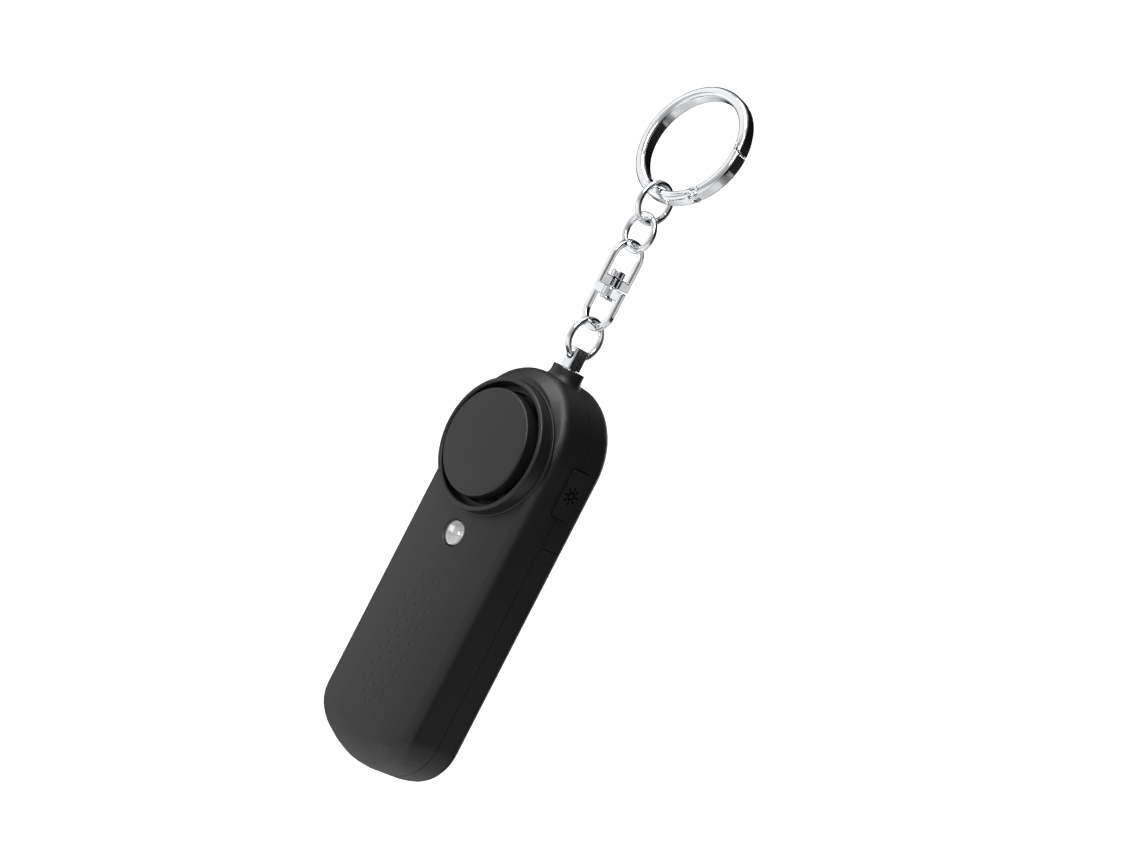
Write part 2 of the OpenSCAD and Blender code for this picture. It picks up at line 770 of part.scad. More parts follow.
// Front half of the casing, which carries the siren, the lamp and the battery tray
module front_shell() {
    color(black) in_case() difference() {
        union() {
            difference() {
                intersection() {
                    outer_form();
                    in_front_of(seam_gap / 2 - seam_back);
                }
                casing_form(wall);
            }
            siren_collar();
            sounder_seat();
            battery_tray();
            both_sides() screw_boss();
            boss_core(true);
        }
        translate([0, siren_y, ledge_front]) cylinder(r = collar_bore_r, h = far);
        translate([0, siren_y, seat_front - eps]) cylinder(r = ledge_r, h = far);
        translate([0, lamp_z, 0]) cylinder(r = lamp_r + fit, h = far);
        translate([0, lamp_z, case_front - lamp_chamfer])
            cylinder(r1 = lamp_r + fit, r2 = lamp_r + fit + 2 * lamp_chamfer, h = 2 * lamp_chamfer);
        boss_bore();
        button_hole();
    }
}

// Solid core under the boss that holds the bush, split at the seam
module boss_core(front) {
    intersection() {
        upright(0, core_y, 0) cylinder(r = boss_r, h = bush_len);
        if (front) in_front_of(seam_gap / 2 - seam_back);
        else mirror([0, 0, 1]) in_front_of(seam_back + seam_gap / 2);
    }
}

// Flat seat and locating wall for the sounder, behind the casing's face
module sounder_seat() {
    translate([0, siren_y, 0]) {
        translate([0, 0, seat_front]) difference() {
            cylinder(r = seat_r, h = ledge_front - seat_front);
            translate([0, 0, -eps]) cylinder(r = ledge_r, h = far);
        }
        translate([0, 0, sounder_back]) difference() {
            cylinder(r = seat_r, h = seat_front - sounder_back + eps);
            translate([0, 0, -eps]) cylinder(r = sounder_r + fit, h = far);
        }
    }
}

// Floor and end wall between which the batteries are held
module battery_tray() {
    intersection() {
        casing_form(wall - eps);
        in_front_of(tray_back);
        difference() {
            union() {
                between(tray_z, tray_z + tray_t);
                between(tray_end_y, tray_end_y + tray_t);
            }
            translate([0, lamp_z, 0]) cylinder(r = lamp_pocket_r, h = far);
            both_sides() translate([cell_x - tab_w / 2 - fit, plate_y, board_front - far])
                cube([tab_w + 2 * fit, far, far + plate_t + fit]);
            translate([tray_half_w, -far / 2, -far - seam_back]) cube([far, 2 * far, far]);
            translate([-tray_half_w - far, -far / 2, -far - seam_back]) cube([far, 2 * far, far]);
        }
    }
}

// Boss that takes a case screw
module screw_boss() {
    difference() {
        translate([screw_x, screw_y, seam_gap / 2 - seam_back])
            cylinder(r = screw_boss_r, h = case_front - wall + seam_back);
        translate([screw_x, screw_y, screw_seat - case_rear - screw_len - far])
            cylinder(r = screw_r + fit, h = far + 2 * screw_len - screw_seat + wall);
    }
}

// Back half of the casing above the battery cover, with the posts that carry the board
module rear_shell() {
    color(black) in_case() difference() {
        union() {
            intersection() {
                union() {
                    difference() {
                        outer_form();
                        casing_form(wall);
                    }
                    both_sides() screw_pillar();
                    board_posts();
                }
                mirror([0, 0, 1]) in_front_of(seam_back + seam_gap / 2);
                between(cover_top + seam_gap / 2, far);
            }
            boss_core(false);
        }
        boss_bore();
        button_hole();
        both_sides() screw_hole();
    }
}

// Pillar in the rear shell that stands on a screw boss
module screw_pillar() {
    translate([screw_x, screw_y, wall / 2 - case_rear]) cylinder(r = screw_boss_r, h = case_rear);
}

// Hole and head recess for a case screw
module screw_hole() {
    translate([screw_x, screw_y, -far / 2]) cylinder(r = screw_r + fit, h = far);
    translate([screw_x, screw_y, -screw_seat - far]) cylinder(r = screw_head_r + 2 * fit, h = far);
}

// Posts that hold the circuit board off the back
module board_posts() {
    for (y = [board_y + board_foot_h / 2, board_y + board_len - board_foot_h / 2])
        both_sides() translate([board_foot_half_w - post_r, y, wall / 2 - case_rear])
            cylinder(r = post_r, h = case_rear - wall / 2 + board_front - board_t);
}

// Cover of the battery bay: the lower half of the back, which slides down
module battery_cover() {
    color(black) in_case() intersection() {
        difference() {
            casing_form(0);
            casing_form(wall);
        }
        mirror([0, 0, 1]) in_front_of(seam_back + seam_gap / 2);
        between(-far / 2, cover_top - seam_gap / 2);
    }
}

// Screws that hold the two halves together
module case_screws() {
    color(chrome) in_case() both_sides() translate([screw_x, screw_y, -screw_seat]) {
        translate([0, 0, -screw_head_t + 2 * fit]) cylinder(r = screw_head_r, h = screw_head_t - 2 * fit);
        translate([0, 0, -eps]) cylinder(r = screw_r, h = screw_len);
    }
}

// Metal bush that guides the pull pin
module pin_bush() {
    color(chrome) in_case() difference() {
        union() {
            upright(0, mouth_y - bush_len, 0) cylinder(r = bush_r, h = bush_len);
            upright(0, mouth_y - bush_rim_t, 0) cylinder(r = bush_r + bush_rim, h = bush_rim_t);
        }
        upright(0, mouth_y - bush_len - eps, 0) cylinder(r = bush_hole_r, h = far);
    }
}

// Siren and lamp

// Cap over the siren, carried by spokes on the collar's ledge
module siren_cap() {
    skirt_back = ledge_front + spoke_t - eps;
    color(black) in_case() translate([0, siren_y, 0]) {
        rotate_extrude() {
            translate([0, cap_front - cap_t]) square([cap_r, cap_t - cap_edge_r]);
            translate([0, cap_front - 2 * cap_edge_r]) square([cap_r - cap_edge_r, 2 * cap_edge_r]);
            translate([cap_r - cap_edge_r, cap_front - cap_edge_r]) circle(cap_edge_r);
            translate([cap_r - skirt_t, skirt_back]) square([skirt_t, cap_front - cap_t - skirt_back + eps]);
        }
        for (i = [0 : spoke_count - 1]) rotate([0, 0, spoke_turn + 360 * i / spoke_count])
            translate([cap_r - skirt_t, -spoke_w / 2, ledge_front])
                cube([collar_bore_r - 3 * fit - cap_r + skirt_t, spoke_w, spoke_t]);
    }
}

// Soft ring between the front shell and the sounder
module siren_gasket() {
    color("dimgray") in_case() translate([0, siren_y, brass_front]) difference() {
        cylinder(r = sounder_r, h = gasket_t);
        translate([0, 0, -eps]) cylinder(r = ledge_r, h = far);
    }
}

// Brass disc of the sounder
module sounder_disc() {
    color(brass) in_case() translate([0, siren_y, ceramic_front]) cylinder(r = sounder_r, h = brass_t);
}

// Ceramic layer that drives the disc
module sounder_ceramic() {
    color("ivory") in_case() translate([0, siren_y, sounder_back]) cylinder(r = ceramic_r, h = ceramic_t);
}

// Two leads from the sounder to the board
module sounder_leads() {
    color("firebrick") in_case() both_sides()
        translate([sounder_lead_x, siren_y + sounder_lead_up, board_front])
            cylinder(r = 2 * lead_r, h = sounder_back - board_front);
}

// Clear lens of the lamp, with its flange behind the wall
module lamp_lens() {
    color("whitesmoke") in_case() translate([0, lamp_z, 0]) {
        translate([0, 0, lamp_back]) cylinder(r = lamp_r + lamp_flange, h = lamp_base);
        translate([0, 0, lamp_back]) cylinder(r = lamp_r, h = case_front - lamp_back);
        intersection() {
            translate([0, 0, case_front]) cylinder(r = lamp_r, h = lamp_proud);
            translate([0, 0, case_front + lamp_proud - dome_cap_r()]) sphere(dome_cap_r());
        }
    }
}

// Radius of the ball whose cap forms the front of the lens
function dome_cap_r() = (pow(lamp_r, 2) + pow(lamp_proud, 2)) / (2 * lamp_proud);

// The lamp's leads, which run up over the tray and back to the board
module lamp_leads() {
    color(chrome) in_case() for (side = [-1, 1]) translate([side * lead_pitch / 2, 0, 0]) {
        upright(0, lamp_z, lamp_back - lead_r) cylinder(r = lead_r, h = lead_y - lamp_z);
        translate([0, lead_y, board_front]) cylinder(r = lead_r, h = lamp_back - board_front);
    }
}

// Electronics

// Button on the side that works the lamp
module light_button() {
    out_x = case_r + button_proud;
    color(black) in_case() translate([0, button_z, button_front]) {
        translate([button_back_x, 0, 0]) rotate([0, 90, 0])
            round_block(button_w, button_len, out_x - button_back_x, button_corner);
        translate([button_back_x, 0, 0]) rotate([0, 90, 0])
            round_block(
                button_w + 2 * button_flange, button_len + 2 * button_flange, button_flange_t, button_corner
            );
    }
}

// Plunger of the light switch, which the button pushes
module switch_plunger() {
    color("gray") in_case() translate([switch_x - plunger_in, button_z, board_front + switch_w / 2])
        rotate([0, 90, 0]) cylinder(r = plunger_r, h = plunger_in + plunger_out);
}

// Body of the light switch on the board's edge
module light_switch() {
    color("dimgray") in_case() difference() {
        translate([switch_x - switch_depth - switch_wall, button_z - switch_len / 2, board_front])
            cube([switch_depth + switch_wall, switch_len, switch_w]);
        translate([switch_x - switch_depth, button_z, board_front + switch_w / 2])
            rotate([0, 90, 0]) cylinder(r = plunger_r + 2 * fit, h = far);
    }
}

// Circuit board, narrower between the screws
module circuit_board() {
    color(green) in_case() translate([0, 0, board_front - board_t]) {
        translate([-board_foot_half_w, board_y, 0]) cube([2 * board_foot_half_w, board_len, board_t]);
        translate([-board_half_w, board_y + board_foot_h, 0])
            cube([2 * board_half_w, board_len - 2 * board_foot_h, board_t]);
    }
}

// Coil that steps the battery's voltage up for the sounder
module step_up_coil() {
    color("darkgoldenrod") in_case()
        translate([-chip_x - coil_r, board_y + board_foot_h + coil_r, board_front])
            cylinder(r = coil_r, h = coil_h);
}

// Chip that makes the siren's tone
module control_chip() {
    color("black") in_case()
        translate([chip_x, board_y + chip_up, board_front]) cube([chip_w, chip_len, chip_h]);
}

// Strip that touches the pin's shank, standing on the board
module pin_contact() {
    translate([contact_x, contact_y, board_front]) cube([contact_t, contact_h, -board_front + shank_r / 2]);
}

// Contact on the left of the pin
module pin_contact_left() {
    color(brass) in_case() mirror([1, 0, 0]) pin_contact();
}

// Contact on the right of the pin
module pin_contact_right() {
    color(brass) in_case() pin_contact();
}

// Batteries

// One cell, button end up
module cell() {
    upright(cell_x, cell_y, cell_front) {
        cylinder(r = cell_r, h = cell_len);
        translate([0, 0, cell_len - eps]) cylinder(r = cell_nub_r, h = cell_nub + eps);
    }
}

// Cell on the left
module battery_left() {
    color("slategray") in_case() mirror([1, 0, 0]) cell();
}

// Cell on the right
module battery_right() {
    color("slategray") in_case() cell();
}

// Two springs under the cells, widest at the tray's floor
module battery_springs() {
    rise = spring_h - 2 * spring_wire_r;
    color(chrome) in_case() both_sides() upright(cell_x, spring_y + spring_wire_r, cell_front)
        coil(spring_r, cell_nub_r, rise, spring_turns, spring_wire_r);
}

// Flat contacts above the cells, with tabs up to the board
module battery_contacts() {
    color(chrome) in_case() both_sides() {
        translate([cell_x - plate_w / 2, plate_y, board_front])
            cube([plate_w, plate_t, cell_front + cell_r / 2 - board_front]);
        translate([cell_x - tab_w / 2, plate_y, board_front])
            cube([tab_w, board_y - plate_y + tab_lap, plate_t]);
    }
}

clip_ring();
clip_gate();
gate_pin();
gate_spring();
upper_ring();
middle_ring();
swivel_upper();
swivel_lower();
swivel_rivet();
lower_ring();
pull_pin();
front_shell();
rear_shell();
battery_cover();
case_screws();
pin_bush();
siren_cap();
siren_gasket();
sounder_disc();
sounder_ceramic();
sounder_leads();
lamp_lens();
lamp_leads();
light_button();
switch_plunger();
light_switch();
circuit_board();
step_up_coil();
control_chip();
pin_contact_left();
pin_contact_right();
battery_left();
battery_right();
battery_springs();
battery_contacts();
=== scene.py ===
# Looks of a pocket alarm that hangs by its pull pin from a swivel chain and a spring-gate ring.
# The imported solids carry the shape. Each section below finishes one piece in the order of assembly.
import math

import bmesh
import bpy
from mathutils import Matrix, Vector


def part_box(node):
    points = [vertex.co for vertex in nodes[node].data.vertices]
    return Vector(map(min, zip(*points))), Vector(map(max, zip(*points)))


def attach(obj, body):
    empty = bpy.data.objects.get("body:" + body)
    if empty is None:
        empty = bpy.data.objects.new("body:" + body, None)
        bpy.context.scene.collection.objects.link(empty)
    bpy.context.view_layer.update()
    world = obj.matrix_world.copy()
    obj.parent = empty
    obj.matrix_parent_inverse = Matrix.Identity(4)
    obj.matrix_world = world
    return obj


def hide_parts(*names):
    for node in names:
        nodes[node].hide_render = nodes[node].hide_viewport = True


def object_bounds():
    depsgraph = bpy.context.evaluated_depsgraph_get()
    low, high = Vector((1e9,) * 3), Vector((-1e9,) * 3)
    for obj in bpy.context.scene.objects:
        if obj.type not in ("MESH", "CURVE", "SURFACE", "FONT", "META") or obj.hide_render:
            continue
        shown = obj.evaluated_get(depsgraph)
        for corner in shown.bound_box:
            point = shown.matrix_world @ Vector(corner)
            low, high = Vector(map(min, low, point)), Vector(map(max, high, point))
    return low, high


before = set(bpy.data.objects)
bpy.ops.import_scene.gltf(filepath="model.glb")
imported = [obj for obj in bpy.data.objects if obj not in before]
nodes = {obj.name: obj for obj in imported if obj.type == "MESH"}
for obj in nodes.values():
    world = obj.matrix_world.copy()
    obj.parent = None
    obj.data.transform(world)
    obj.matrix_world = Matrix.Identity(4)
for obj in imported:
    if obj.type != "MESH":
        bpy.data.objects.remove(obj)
cad_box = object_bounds()
scene = bpy.context.scene
scene.view_settings.view_transform = "Standard"
MM = 0.001


# Studio
# A camera at the photograph's angle, and soft panels with dark gaps between them, which polished
# metal needs for its contrast. Two small cards light the swivel and the casing's foot.
PHOTO_W = 1140
PX_PER_MM = 4.82
VIEW_AZIMUTH = math.radians(46)
VIEW_ELEVATION = math.radians(3)
VIEW_ROLL = math.radians(27.2)
VIEW_RIGHT = 5.6 * MM
VIEW_UP = 81.6 * MM
LENS = 180
SENSOR = 36
VIEW_NEAR = 0.05
VIEW_FAR = 20
SKY_STRENGTH = 0.8

pin_low, pin_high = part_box("pull_pin")
foot = Vector(((pin_low.x + pin_high.x) / 2, (pin_low.y + pin_high.y) / 2,
               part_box("battery_cover")[0].z))
to_camera = Vector((math.sin(VIEW_AZIMUTH) * math.cos(VIEW_ELEVATION),
                    -math.cos(VIEW_AZIMUTH) * math.cos(VIEW_ELEVATION), math.sin(VIEW_ELEVATION)))
side = Vector((math.cos(VIEW_AZIMUTH), math.sin(VIEW_AZIMUTH), 0))
upward = to_camera.cross(side)
target = foot + side * VIEW_RIGHT + upward * VIEW_UP
distance = PHOTO_W / PX_PER_MM * MM * LENS / SENSOR
roll_right = side * math.cos(VIEW_ROLL) + upward * math.sin(VIEW_ROLL)
roll_up = upward * math.cos(VIEW_ROLL) - side * math.sin(VIEW_ROLL)

camera = bpy.data.objects.new("camera", bpy.data.cameras.new("camera"))
camera.data.lens = LENS
camera.data.sensor_width = SENSOR
camera.data.clip_start = VIEW_NEAR
camera.data.clip_end = VIEW_FAR
placing = Matrix((roll_right, roll_up, to_camera)).transposed().to_4x4()
placing.translation = target + to_camera * distance
camera.matrix_world = placing
scene.collection.objects.link(camera)
scene.camera = camera


def linear(hex_colour):
    """Turns an sRGB hex colour into linear red, green, blue and a full alpha."""
    parts = [int(hex_colour[i:i + 2], 16) / 255 for i in (1, 3, 5)]
    return [c / 12.92 if c <= 0.04045 else ((c + 0.055) / 1.055) ** 2.4 for c in parts] + [1]


def add(tree, kind, settings=None, links=None):
    """Adds a node, sets its properties and input values, and links other sockets to its inputs."""
    made = tree.nodes.new(kind)
    for name, value in (settings or {}).items():
        if name in made.inputs.keys():
            made.inputs[name].default_value = value
        else:
            setattr(made, name, value)
    for name, socket in (links or {}).items():
        tree.links.new(socket, made.inputs[name])
    return made


def panel(name, place, aim, width, height, watts, spread=180):
    """Adds a soft rectangular light that looks at a point, shaded to an angle in degrees."""
    lamp = bpy.data.lights.new(name, "AREA")
    lamp.shape = "RECTANGLE"
    lamp.size, lamp.size_y, lamp.energy = width, height, watts
    lamp.spread = math.radians(spread)
    holder = bpy.data.objects.new(name, lamp)
    holder.matrix_world = (aim - place).to_track_quat("-Z", "Y").to_matrix().to_4x4()
    holder.location = place
    scene.collection.objects.link(holder)


middle = Vector((0, 0, -70 * MM))
swivel = Vector((foot.x, foot.y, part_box("swivel_upper")[0].z))
panel("left_panel", middle + side * -0.6 + to_camera * -0.2 + upward * 0.1, middle,
      width=0.7, height=0.9, watts=1.2)
panel("strip_panel", middle + side * -0.12 + to_camera * 0.56 + upward * 0.46, middle,
      width=0.18, height=0.5, watts=3.2)
panel("swivel_card", swivel + side * 0.12, swivel,
      width=0.06, height=0.03, watts=0.0002, spread=40)
panel("foot_card", foot + side * 0.3 + upward * -0.08, foot,
      width=0.25, height=0.12, watts=0.006, spread=60)
panel("top_panel", middle + upward * 0.7 + to_camera * 0.1 + side * -0.25, middle,
      width=0.5, height=0.4, watts=3.5)
panel("back_panel", middle + Vector((-0.3, 0.75, 0.1)), middle,
      width=0.4, height=0.5, watts=1.0)

world = bpy.data.worlds.new("studio")
world.use_nodes = True
sky = world.node_tree
facing = add(sky, "ShaderNodeTexCoord").outputs["Generated"]


def bands(direction, stops):
    """Makes shades of grey that change along one direction of the studio, from 0 to 1."""
    along = add(sky, "ShaderNodeVectorMath", {"operation": "DOT_PRODUCT"}, {0: facing})
    along.inputs[1].default_value = direction
    share = add(sky, "ShaderNodeMapRange", {"From Min": -1, "From Max": 1},
                {"Value": along.outputs["Value"]})
    ramp = add(sky, "ShaderNodeValToRGB", links={"Fac": share.outputs["Result"]})
    while len(ramp.color_ramp.elements) < len(stops):
        ramp.color_ramp.elements.new(0.5)
    for element, (place, shade) in zip(ramp.color_ramp.elements, stops):
        element.position, element.color = place, linear(shade)
    return ramp.outputs["Color"]


left_to_right = bands(side, (
    (0.0, "#dadada"), (0.12, "#f8f8f8"), (0.3, "#f2f2f2"), (0.42, "#7c7c7c"), (0.5, "#ffffff"),
    (0.64, "#e8e8e8"), (0.74, "#2a2a2a"), (0.86, "#161616"), (0.94, "#222222"), (1.0, "#2c2c2c")))
low_to_high = bands(upward, ((0.0, "#d0d0d0"), (0.55, "#ffffff"), (1.0, "#e0e0e0")))
far_to_near = bands(to_camera, (
    (0.0, "#101010"), (0.16, "#2c2c2c"), (0.32, "#ffffff"), (1.0, "#e8e8e8")))
floor = bands(upward, ((0.0, "#ffffff"), (0.2, "#f0f0f0"), (0.38, "#000000"), (1.0, "#000000")))
light = left_to_right
for operation, shades in (("MULTIPLY", low_to_high), ("MULTIPLY", far_to_near), ("ADD", floor)):
    light = add(sky, "ShaderNodeVectorMath", {"operation": operation},
                {0: light, 1: shades}).outputs["Vector"]
sky.links.new(light, sky.nodes["Background"].inputs["Color"])
sky.nodes["Background"].inputs["Strength"].default_value = SKY_STRENGTH
scene.world = world


# White sweep
# A bowl of paper under and all round the hanging object, seen by the camera alone, so that the
# panels and the gaps between them stay in the reflections.
SWEEP_R = 3.0
SWEEP_BELOW = 0.35
SWEEP_BEND = 1.0
SWEEP_HEIGHT = 4.0
SWEEP_STEPS = 16
SWEEP_SIDES = 72
SWEEP_WELD = 0.1 * MM
SWEEP_GLOW = 0.9
CLOUD_SPAN = (0.35, 0.65)
GLOSS_SPAN = (0.3, 0.7)
GRAIN_DEPTH = 0.2


def surface(name, low, high, patch, rough, grain, bump, metal=0.0):
    """Makes a material whose colour and gloss drift in soft patches, under a fine raised grain.

    The patches and the grain are given in millimetres, and rough as its least and its most.
    """
    made = bpy.data.materials.new(name)
    made.use_nodes = True
    tree = made.node_tree
    shader = tree.nodes["Principled BSDF"]
    shader.inputs["Metallic"].default_value = metal
    place = add(tree, "ShaderNodeTexCoord").outputs["Object"]
    clouds = add(tree, "ShaderNodeTexNoise", {"Scale": 1 / (patch * MM), "Detail": 4},
                 {"Vector": place})
    ramp = add(tree, "ShaderNodeValToRGB", links={"Fac": clouds.outputs["Fac"]})
    for element, position, colour in zip(ramp.color_ramp.elements, CLOUD_SPAN, (low, high)):
        element.position, element.color = position, linear(colour)
    gloss = add(tree, "ShaderNodeMapRange", {
        "From Min": GLOSS_SPAN[0], "From Max": GLOSS_SPAN[1],
        "To Min": rough[0], "To Max": rough[1]}, {"Value": clouds.outputs["Fac"]})
    fine = add(tree, "ShaderNodeTexNoise", {"Scale": 1 / (grain * MM), "Detail": 3},
               {"Vector": place})
    relief = add(tree, "ShaderNodeBump", {"Strength": bump, "Distance": grain * MM * GRAIN_DEPTH},
                 {"Height": fine.outputs["Fac"]})
    tree.links.new(ramp.outputs["Color"], shader.inputs["Base Color"])
    tree.links.new(gloss.outputs["Result"], shader.inputs["Roughness"])
    tree.links.new(relief.outputs["Normal"], shader.inputs["Normal"])
    return made


def shade_smooth(form):
    """Shades all faces of a form smooth."""
    for face in form.faces:
        face.smooth = True


def as_object(form, name):
    """Turns a form into a mesh object in the scene."""
    mesh = bpy.data.meshes.new(name)
    form.to_mesh(mesh)
    form.free()
    made = bpy.data.objects.new(name, mesh)
    scene.collection.objects.link(made)
    return made


profile = [(0, 0)]
for i in range(SWEEP_STEPS + 1):
    turn = math.pi / 2 * i / SWEEP_STEPS
    profile.append((SWEEP_R - SWEEP_BEND * (1 - math.sin(turn)), SWEEP_BEND * (1 - math.cos(turn))))
profile.append((SWEEP_R, SWEEP_HEIGHT))
sweep_form = bmesh.new()
sweep_line = [sweep_form.verts.new((reach, 0, cad_box[0][2] - SWEEP_BELOW + rise))
              for reach, rise in profile]
sweep_edges = [sweep_form.edges.new(pair) for pair in zip(sweep_line, sweep_line[1:])]
bmesh.ops.spin(sweep_form, geom=sweep_line + sweep_edges, angle=math.tau, steps=SWEEP_SIDES,
               use_merge=True, axis=(0, 0, 1), cent=(0, 0, 0))
bmesh.ops.remove_doubles(sweep_form, verts=sweep_form.verts, dist=SWEEP_WELD)
bmesh.ops.recalc_face_normals(sweep_form, faces=sweep_form.faces)
bmesh.ops.reverse_faces(sweep_form, faces=sweep_form.faces)
shade_smooth(sweep_form)
sweep = as_object(sweep_form, "white_sweep")
# Matt paper: an even white with no highlight. Its tooth is drawn coarser, at a millimetre.
paper = surface("white_paper", "#fafafa", "#ffffff", patch=40, rough=(0.8, 0.9), grain=1.0,
                bump=0.05)
paper_shader = paper.node_tree.nodes["Principled BSDF"]
paper_shader.inputs["Emission Color"].default_value = (1, 1, 1, 1)
paper_shader.inputs["Emission Strength"].default_value = SWEEP_GLOW
sweep.data.materials.append(paper)
sweep.visible_glossy = False
sweep.visible_diffuse = False
sweep.visible_shadow = False


# Clip ring with its gate
# A polished and plated zinc casting, open on one side. The gate that closes it turns on a riveted
# pin and is held shut by a coil of steel wire.
CREASE = 32
WELD = 0.0005 * MM
FLAT = math.radians(1)
SHARP = math.radians(40)
EDGE_STEPS = 2
RING_EDGE = 0.2 * MM
GATE_PIN_EDGE = 0.1 * MM
# Nickel and chrome plate: mirror images with a faint haze in soft patches. The buffing lines are
# too fine to show, so they are drawn coarser, as a grain of half a millimetre.
chrome = surface("nickel_chrome_plate", "#dcdee1", "#e4e6e8", patch=3.0, rough=(0.08, 0.13),
                 grain=0.5, bump=0.03, metal=1.0)
# Drawn steel wire: grey metal with blurred streaks of light. The die's lines are drawn coarser.
spring_steel = surface("spring_steel_wire", "#a4a6a9", "#bcbec2", patch=2.0, rough=(0.2, 0.32),
                       grain=0.3, bump=0.1, metal=1.0)


def smooth_copy(node, crease):
    """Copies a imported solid, welds its corners and shades it smooth up to an angle in degrees."""
    form = bmesh.new()
    form.from_mesh(nodes[node].data)
    bmesh.ops.remove_doubles(form, verts=form.verts, dist=WELD)
    for edge in form.edges:
        edge.smooth = edge.calc_face_angle(math.pi) < math.radians(crease)
    shade_smooth(form)
    for face in form.faces:
        face.material_index = 0
    return as_object(form, node + "_finish")


def bake(piece):
    """Turns a piece's modifiers into plain mesh."""
    graph = bpy.context.evaluated_depsgraph_get()
    made = bpy.data.meshes.new_from_object(piece.evaluated_get(graph))
    piece.modifiers.clear()
    piece.data = made


def break_edges(piece, width):
    """Joins a piece's flat faces and rounds its sharp edges, as tumbling and plating do."""
    form = bmesh.new()
    form.from_mesh(piece.data)
    bmesh.ops.dissolve_limit(form, angle_limit=FLAT, verts=form.verts, edges=form.edges)
    form.to_mesh(piece.data)
    form.free()
    rounding = piece.modifiers.new("rounding", "BEVEL")
    rounding.width, rounding.segments = width, EDGE_STEPS
    rounding.limit_method, rounding.angle_limit = "ANGLE", SHARP
    rounding.use_clamp_overlap = False
    rounding.harden_normals = True
    bake(piece)


def stand_for(piece, node, body, material):
    """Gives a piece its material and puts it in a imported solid's place on its body."""
    piece.data.materials.clear()
    piece.data.materials.append(material)
    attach(piece, body)
    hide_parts(node)


def coat(node, material):
    """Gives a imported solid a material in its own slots."""
    for place in nodes[node].material_slots:
        place.material = material


for node, body, width in (("clip_ring", "clip", RING_EDGE), ("clip_gate", "gate", RING_EDGE),
                          ("gate_pin", "clip", GATE_PIN_EDGE)):
    link = smooth_copy(node, CREASE)
    break_edges(link, width)
    stand_for(link, node, body, chrome)
coat("gate_spring", spring_steel)


# Chain
# Soldered rings of round wire, and a swivel of two stamped loops on one rivet, all plated like the
# clip ring. Each piece hangs loose in the one above it.
SWIVEL_EDGE = 0.25 * MM
for node, body in (("upper_ring", "ring_upper"), ("middle_ring", "ring_middle"),
                   ("lower_ring", "ring_lower")):
    stand_for(smooth_copy(node, CREASE), node, body, chrome)
for node, body in (("swivel_upper", "loop_upper"), ("swivel_lower", "loop_lower"),
                   ("swivel_rivet", "loop_lower")):
    link = smooth_copy(node, CREASE)
    break_edges(link, SWIVEL_EDGE)
    stand_for(link, node, body, chrome)


# Pull pin and its bush
# Turned and plated steel. The pin's flattened head hangs on the chain, its shank slides in the
# bush, and the bush is pressed into the casing's boss.
BUSH_EDGE = 0.15 * MM
stand_for(smooth_copy("pull_pin", CREASE), "pull_pin", "pin", chrome)
bush = smooth_copy("pin_bush", CREASE)
break_edges(bush, BUSH_EDGE)
stand_for(bush, "pin_bush", "casing", chrome)


# Casing
# Two screwed halves, a sliding battery cover and a siren cap, moulded in black plastic. The grip
# is a staggered field of shallow dimples in the front, cut with one set of balls.
CASE_CREASE = 30
CASE_FRONT = 8.3 * MM
CROWN_R = 85 * MM
GRIP_COLUMNS = 5
GRIP_ROWS = 9
GRIP_FOOT = 12.3 * MM
GRIP_DEPTH = 0.1 * MM
DIMPLE_R = 0.55 * MM
GRIP_BALL_R = (DIMPLE_R ** 2 + GRIP_DEPTH ** 2) / (2 * GRIP_DEPTH)
BALL_SIDES = 24
SEAM_BACK = 1.2 * MM
SEAM_GAP = 0.15 * MM
SEAM_NEAR = 0.02 * MM
LIP_INSET = 0.15 * MM
LIP_HEIGHT = 0.12 * MM
SQUARE_ON = 0.999
COLLAR_FOOT_R = 15.05 * MM
FOOT_NEAR = 0.05 * MM
FOOT_EDGE = 0.14 * MM
EVEN_WEIGHT = 100
# Moulded plastic with a spark-eroded face: a broad soft sheen, no mirror images, and faint clouds
# where the melt flowed. The grain is finer than the render, so it is drawn coarser, at 0.12 mm.
black_plastic = surface("black_moulded_plastic", "#0f0f10", "#121213", patch=12.0,
                        rough=(0.44, 0.48), grain=0.12, bump=0.12)


def node_group(name, numbers):
    """Starts a geometry node group with named number inputs and a material input."""
    made = bpy.data.node_groups.new(name, "GeometryNodeTree")
    made.interface.new_socket("Geometry", in_out="OUTPUT", socket_type="NodeSocketGeometry")
    for label, value in numbers.items():
        kind = "NodeSocketInt" if isinstance(value, int) else "NodeSocketFloat"
        made.interface.new_socket(label, in_out="INPUT", socket_type=kind)
    made.interface.new_socket("Material", in_out="INPUT", socket_type="NodeSocketMaterial")
    return made, add(made, "NodeGroupInput").outputs


def close_group(tree, geometry, material):
    """Ends a geometry node group with real mesh that carries the material."""
    real = add(tree, "GeometryNodeRealizeInstances", links={"Geometry": geometry})
    dressed = add(tree, "GeometryNodeSetMaterial", links={
        "Geometry": real.outputs["Geometry"], "Material": material})
    add(tree, "NodeGroupOutput", links={"Geometry": dressed.outputs["Geometry"]})


def grow(name, tree, numbers, material):
    """Makes a plain mesh object from a geometry node group and its inputs."""
    piece = bpy.data.objects.new(name, bpy.data.meshes.new(name))
    scene.collection.objects.link(piece)
    modifier = piece.modifiers.new(name, "NODES")
    modifier.node_group = tree
    values = dict(numbers, Material=material)
    for item in tree.interface.items_tree:
        if item.in_out == "INPUT":
            modifier[item.identifier] = values[item.name]
    bake(piece)
    return piece


def carve(piece, cutter):
    """Cuts one closed mesh out of another and throws the cutter away."""
    cut = piece.modifiers.new("cut", "BOOLEAN")
    cut.operation = "DIFFERENCE"
    cut.solver = "EXACT"
    cut.object = cutter
    bake(piece)
    spent = cutter.data
    bpy.data.objects.remove(cutter)
    bpy.data.meshes.remove(spent)


